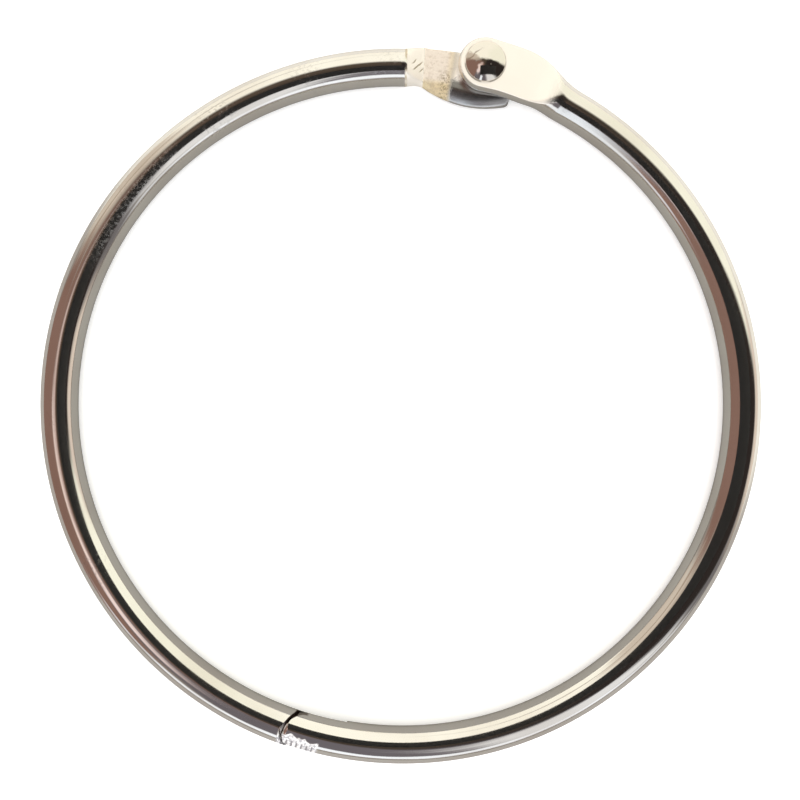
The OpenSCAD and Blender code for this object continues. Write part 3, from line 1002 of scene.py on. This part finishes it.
def soft_card_group():
    """Lays a soft-edged card of one colour over the surroundings, in a given direction."""
    tree, given, made = new_group("Soft Card", "ShaderNodeTree", [
        ("Direction", "NodeSocketVector"),
        ("Towards", "NodeSocketVector"),
        ("Across", "NodeSocketVector"),
        ("Upward", "NodeSocketVector"),
        ("Half Width", "NodeSocketFloat", 0.5),
        ("Half Height", "NodeSocketFloat", 0.3),
        ("Softness", "NodeSocketFloat", 0.3),
        ("Below", "NodeSocketColor"),
        ("Card", "NodeSocketColor"),
        ("Cover", "NodeSocketFloat", 1.0),
    ], [("Color", "NodeSocketColor")])
    w = Wiring(tree)
    size = given.outputs
    ahead = w.vector("DOT_PRODUCT", size["Direction"], size["Towards"])
    shares = []
    for axis, half in (("Across", "Half Width"), ("Upward", "Half Height")):
        aside = w.math("ARCTAN2", w.vector("DOT_PRODUCT", size["Direction"], size[axis]), ahead)
        shares.append(w.math("POWER", w.math("ABSOLUTE", w.math("DIVIDE", aside, size[half])), 3.0))
    reach = w.math("POWER", w.math("ADD", *shares), 1 / 3)
    cover = w.step(reach, w.math("ADD", 1.0, size["Softness"]), w.math("SUBTRACT", 1.0, size["Softness"]))
    w.put(made.inputs[0], w.blend(w.product(cover, size["Cover"]), size["Below"], size["Card"]))
    return tree


# Soft cards round the ring: direction in the view (degrees, 0 right, 90 up), tilt from straight up,
# half width, half height (degrees), softness, colour and cover
CARDS = [
    ("ceiling", 82, 60, 66, 40, 0.14, (1.10, 1.06, 0.93), 1.0),
    ("ceiling_corner", 40, 62, 24, 34, 0.5, (1.02, 1.01, 0.85), 0.9),
    ("ceiling_dim", 141, 62, 11, 34, 0.4, (0.58, 0.48, 0.39), 0.85),
    ("ceiling_rail", 138, 57, 30, 2.4, 0.6, (0.30, 0.22, 0.16), 0.8),
    ("left_wall_top", 188, 25, 17, 22, 0.12, (0.25, 0.148, 0.118), 1.0),
    ("left_wall", 190, 64, 33, 32, 0.12, (0.25, 0.148, 0.118), 1.0),
    ("left_door", 145, 12, 13, 8, 0.5, (0.09, 0.065, 0.05), 0.8),
    ("near_side", 262, 36, 27, 27, 0.2, (0.155, 0.14, 0.155), 1.0),
    ("left_shelf_far", 183, 14, 7, 5, 0.5, (0.66, 0.50, 0.45), 0.9),
    ("left_shelf", 204, 23, 8, 6, 0.5, (0.98, 0.80, 0.74), 0.9),
    ("left_shelf_near", 221, 31, 6, 6, 0.5, (0.98, 0.82, 0.80), 0.9),
    ("near_window", 268, 70, 50, 10, 0.3, (1.02, 1.06, 1.12), 1.0),
    ("near_corner", 305, 44, 18, 24, 0.3, (0.86, 0.86, 0.87), 0.95),
    ("right_post", 333, 58, 10, 34, 0.35, (0.16, 0.15, 0.155), 0.95),
    ("right_wall", -10, 34, 21, 32, 0.16, (0.028, 0.022, 0.020), 1.0),
    ("right_skirting", -2, 81, 18, 13, 0.5, (0.80, 0.68, 0.58), 0.9),
]

# Dark card beside the lens: left, lower, right and upper edge in the view, in millimetres
LENS_CARD = (-26, -34, 100, 24)
# Low bright card: its two feet in the view, and its lower and upper edge above the floor, in millimetres
LOW_CARD_FEET = ((-11, -13.5), (-1.8, -17.5))
LOW_CARD_RISE = (9, 72)
# Half the floor's width, the overhead lamp's width, its place up the view and its height, in metres
FLOOR_HALF = 4.0
LAMP_SIZE, LAMP_UP, LAMP_HEIGHT = 0.9, -0.18, 0.6


def build_world(stage):
    """Surroundings for the metal to mirror: a dim sky with soft cards, and plain white for the camera."""
    world = bpy.data.worlds.new("soft_studio")
    bpy.context.scene.world = world
    world.use_nodes = True
    tree = world.node_tree
    tree.nodes.clear()
    w = Wiring(tree)
    straight = w.node("ShaderNodeTexCoord").outputs["Generated"]
    rough = w.node("ShaderNodeTexNoise", Vector=straight, Scale=5.5, Detail=2.0).outputs["Color"]
    shift = w.vector("SCALE", w.vector("SUBTRACT", rough, (0.5, 0.5, 0.5)))
    shift.node.inputs["Scale"].default_value = 0.22
    direction = w.vector("NORMALIZE", w.vector("ADD", straight, shift))
    rise = w.separate(direction)["Z"]
    sky = w.blend(w.step(rise, 0.80, 0.97), (0.30, 0.27, 0.24), (0.075, 0.058, 0.042))
    card = soft_card_group()
    right, up = view_axes(stage.roll)
    for _, heading, tilt, half_w, half_h, soft, tint, cover in CARDS:
        heading, tilt = math.radians(heading), math.radians(tilt)
        flat = right * math.cos(heading) + up * math.sin(heading)
        towards = flat * math.sin(tilt) + Vector((0, 0, math.cos(tilt)))
        across = Vector((0, 0, 1)).cross(flat)
        sky = w.use(card, Direction=direction, Towards=towards, Across=across, Upward=towards.cross(across),
                    Half_Width=math.radians(half_w), Half_Height=math.radians(half_h), Softness=soft,
                    Below=sky, Card=(*tint, 1.0), Cover=cover)[0]
    seen = w.node("ShaderNodeLightPath").outputs["Is Camera Ray"]
    shine = w.node("ShaderNodeBackground", Color=w.blend(seen, sky, (0.985, 0.985, 0.98)), Strength=1.0)
    out = w.node("ShaderNodeOutputWorld")
    w.put(out.inputs[0], shine.outputs[0])


def flat_card(name, corners, material):
    """A one-faced sheet."""
    mesh = bpy.data.meshes.new(name)
    mesh.from_pydata([tuple(c) for c in corners], [], [tuple(range(len(corners)))])
    mesh.materials.append(material)
    made = bpy.data.objects.new(name, mesh)
    bpy.context.scene.collection.objects.link(made)
    return made


def reflected_card(name, corners, material):
    """A card that only reflections see."""
    card = flat_card(name, corners, material)
    card.visible_camera = card.visible_diffuse = card.visible_shadow = False


# ---------------------------------------------------------------- operators


def settings():
    """Every group of settings in the scene, by its key."""
    scene = bpy.context.scene
    return {key: getattr(scene, key) for key in SETTINGS}


def grow_arm(name, wire, start, end, material):
    """A length of round wire along the ring, between two angles."""
    return grown(name, wire_tree(), Ring_Radius=wire.ring_radius, Wire_Radius=wire.wire_radius,
                 Start_Angle=start, End_Angle=end, Stations=wire.stations, Sides=wire.sides,
                 Crowding=wire.crowding, Material=material)


def bore_out(arm, radius, foot, hinge):
    """Bores an arm's flat for the rivet, upward from the given height."""
    top = 6 * MM
    outline = [(0.0, foot), (radius, foot), (radius, top), (0.0, top)]
    combine(arm, turned("bore_tool", outline, (0.0, hinge.hinge_radius), 64), "DIFFERENCE")


class RING_OT_left_arm(bpy.types.Operator):
    """Builds the arm with the tongue and the lower lap"""

    bl_idname = "ring.left_arm"
    bl_label = "Left Arm"

    def execute(self, context):
        have = settings()
        wire, hinge, clasp = have["ring_wire"], have["ring_hinge"], have["ring_clasp"]
        material = arm_material("plated_wire_left", have["ring_finish"], hinge, clasp, tongue=True)
        start = math.pi - (clasp.under_length - clasp.end_gap) / wire.ring_radius
        end = TAU + hinge.tongue_tip / wire.ring_radius
        arm = grow_arm("left_arm_wire", wire, start, end, material)
        press_tongue(arm.data, wire, hinge)
        close_mesh(arm.data)
        cut_clasp(arm, wire, clasp, upper=False)
        cut_grip(arm, wire, clasp)
        bore_out(arm, have["ring_rivet"].shank_radius + 0.01 * MM, -1 * MM, hinge)
        finish_mesh(arm, material)
        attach(arm, "left_half")
        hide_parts("left_arm")
        return {"FINISHED"}


class RING_OT_right_arm(bpy.types.Operator):
    """Builds the arm with the paddle and the upper lap"""

    bl_idname = "ring.right_arm"
    bl_label = "Right Arm"

    def execute(self, context):
        have = settings()
        wire, hinge, clasp = have["ring_wire"], have["ring_hinge"], have["ring_clasp"]
        material = arm_material("plated_wire_right", have["ring_finish"], hinge, clasp, tongue=False)
        start = -hinge.paddle_radius / wire.ring_radius
        end = math.pi + (clasp.nose_length + 1 * MM) / wire.ring_radius
        arm = grow_arm("right_arm_wire", wire, start, end, material)
        press_paddle(arm.data, wire, hinge, clasp.droop)
        close_mesh(arm.data)
        cut_clasp(arm, wire, clasp, upper=True)
        cut_grip(arm, wire, clasp)
        bore_out(arm, hinge.bore_radius, 0.0, hinge)
        finish_mesh(arm, material)
        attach(arm, "right_half")
        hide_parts("right_arm")
        return {"FINISHED"}


class RING_OT_rivet(bpy.types.Operator):
    """Builds the domed rivet with its rim, shank and upset tail"""

    bl_idname = "ring.rivet"
    bl_label = "Hinge Rivet"

    def execute(self, context):
        have = settings()
        rivet, hinge, wire = have["ring_rivet"], have["ring_hinge"], have["ring_wire"]
        foot = RIVET_LOW.z
        tail_top = hinge.press_depth
        seat = 2 * wire.wire_radius - hinge.press_depth + rivet.head_lift
        top = RIVET_HIGH.z
        round_r = rivet.rim_round
        crown = (rivet.head_radius ** 2 + (top - seat) ** 2) / (2 * (top - seat))
        rim = rivet.head_radius - 0.02 * MM
        profile = [(0.0, foot), (rivet.tail_radius * 0.55, foot), (rivet.tail_radius * 0.9, foot + 0.03 * MM),
                   (rivet.tail_radius, foot + 0.09 * MM), (rivet.tail_radius, tail_top - 0.02 * MM),
                   (rivet.tail_radius - 0.02 * MM, tail_top), (rivet.shank_radius, tail_top),
                   (rivet.shank_radius, seat), (rim - round_r, seat)]
        profile += [(rim - round_r + round_r * math.sin(a), seat + round_r * (1 - math.cos(a)))
                    for a in np.linspace(0.2, math.pi / 2 + 0.55, 9)]
        last_r, last_z = profile[-1]
        lean = math.asin(last_r / crown)
        lift = last_z - (top - crown + crown * math.cos(lean))
        for a in np.linspace(lean, 0.0, 30)[1:-1]:
            share = (a / lean) ** 4
            profile.append((crown * math.sin(a), top - crown + crown * math.cos(a) + lift * share))
        profile.append((0.0, top))
        piece = turned("domed_rivet", profile, (0.0, hinge.hinge_radius), 128)
        finish_mesh(piece, rivet_material(have["ring_finish"]))
        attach(piece, "left_half")
        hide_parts("hinge_rivet")
        return {"FINISHED"}


class RING_OT_stage(bpy.types.Operator):
    """Sets the pale floor, the soft light and the camera"""

    bl_idname = "ring.stage"
    bl_label = "Stage"

    def execute(self, context):
        have = settings()
        stage = have["ring_stage"]
        scene = context.scene
        scene.view_settings.view_transform = "Standard"
        right, up = view_axes(stage.roll)
        half = FLOOR_HALF
        floor = flat_card("floor", [(-half, -half, 0), (half, -half, 0), (half, half, 0), (-half, half, 0)],
                          floor_material(stage.floor))
        floor.location.z = CAD_BOX[0].z - 0.02 * MM
        # A dark card beside the lens, which only reflections see
        dark, w, shader = new_material("lens_card")
        w.put(shader["Base Color"], (0.003, 0.003, 0.004, 1.0))
        w.put(shader["Roughness"], 0.6)
        height = WIRE_R + stage.camera_height + 3 * MM
        left, below, far, above = (edge * MM for edge in LENS_CARD)
        edges = ((left, below), (far, below), (far, above), (left, above))
        reflected_card("lens_card", [right * x + up * y + Vector((0, 0, height)) for x, y in edges], dark)
        # A low bright card that shows only its front, and only in reflections
        glow, w, shader = new_material("low_card")
        w.put(shader["Base Color"], (0.0, 0.0, 0.0, 1.0))
        w.put(shader["Emission Color"], (0.90, 0.97, 1.06, 1.0))
        w.put(shader["Emission Strength"], 1.0)
        front = w.node("ShaderNodeNewGeometry").outputs["Backfacing"]
        w.put(shader["Alpha"], w.math("SUBTRACT", 1.0, front))
        near, far = (right * x * MM + up * y * MM for x, y in LOW_CARD_FEET)
        low, high = (Vector((0, 0, z * MM)) for z in LOW_CARD_RISE)
        reflected_card("low_card", [far + low, near + low, near + high, far + high], glow)
        build_world(stage)
        lamp = bpy.data.lights.new("overhead", "AREA")
        lamp.shape, lamp.size, lamp.energy = "DISK", LAMP_SIZE, stage.key
        lamp.color = (1.0, 0.995, 0.985)
        overhead = bpy.data.objects.new("overhead", lamp)
        overhead.location = tuple(up * LAMP_UP + Vector((0, 0, LAMP_HEIGHT)))
        overhead.visible_glossy = overhead.visible_camera = False
        scene.collection.objects.link(overhead)
        lens = bpy.data.cameras.new("camera")
        lens.sensor_width = 36.0
        lens.lens = lens.sensor_width * stage.camera_height / stage.view_width
        lens.clip_start, lens.clip_end = 0.01, 10.0
        camera = bpy.data.objects.new("camera", lens)
        aim = up * stage.aim_up - right * stage.aim_side
        camera.location = (aim.x, aim.y, WIRE_R + stage.camera_height)
        camera.rotation_euler = (0, 0, stage.roll)
        scene.collection.objects.link(camera)
        scene.camera = camera
        return {"FINISHED"}


class RING_PT_panel(bpy.types.Panel):
    """Lists the ring's settings and the pieces to build"""

    bl_idname = "RING_PT_panel"
    bl_label = "Binder Ring"
    bl_space_type = "VIEW_3D"
    bl_region_type = "UI"
    bl_category = "Binder Ring"

    def draw(self, context):
        column = self.layout.column()
        for operator in OPERATORS:
            column.operator(operator.bl_idname)
        for key, group in SETTINGS.items():
            box = self.layout.box()
            box.label(text=group.__doc__)
            for name in group.__annotations__:
                box.prop(getattr(context.scene, key), name)


OPERATORS = (RING_OT_left_arm, RING_OT_right_arm, RING_OT_rivet, RING_OT_stage)


def register():
    for group in SETTINGS.values():
        bpy.utils.register_class(group)
    for key, group in SETTINGS.items():
        setattr(bpy.types.Scene, key, PointerProperty(type=group))
    for cls in (*OPERATORS, RING_PT_panel):
        bpy.utils.register_class(cls)


def unregister():
    for cls in (RING_PT_panel, *reversed(OPERATORS)):
        bpy.utils.unregister_class(cls)
    for key in SETTINGS:
        delattr(bpy.types.Scene, key)
    for group in reversed(SETTINGS.values()):
        bpy.utils.unregister_class(group)


def main():
    register()
    bpy.ops.ring.left_arm()
    bpy.ops.ring.right_arm()
    bpy.ops.ring.rivet()
    bpy.ops.ring.stage()


if __name__ == "__main__":
    main()
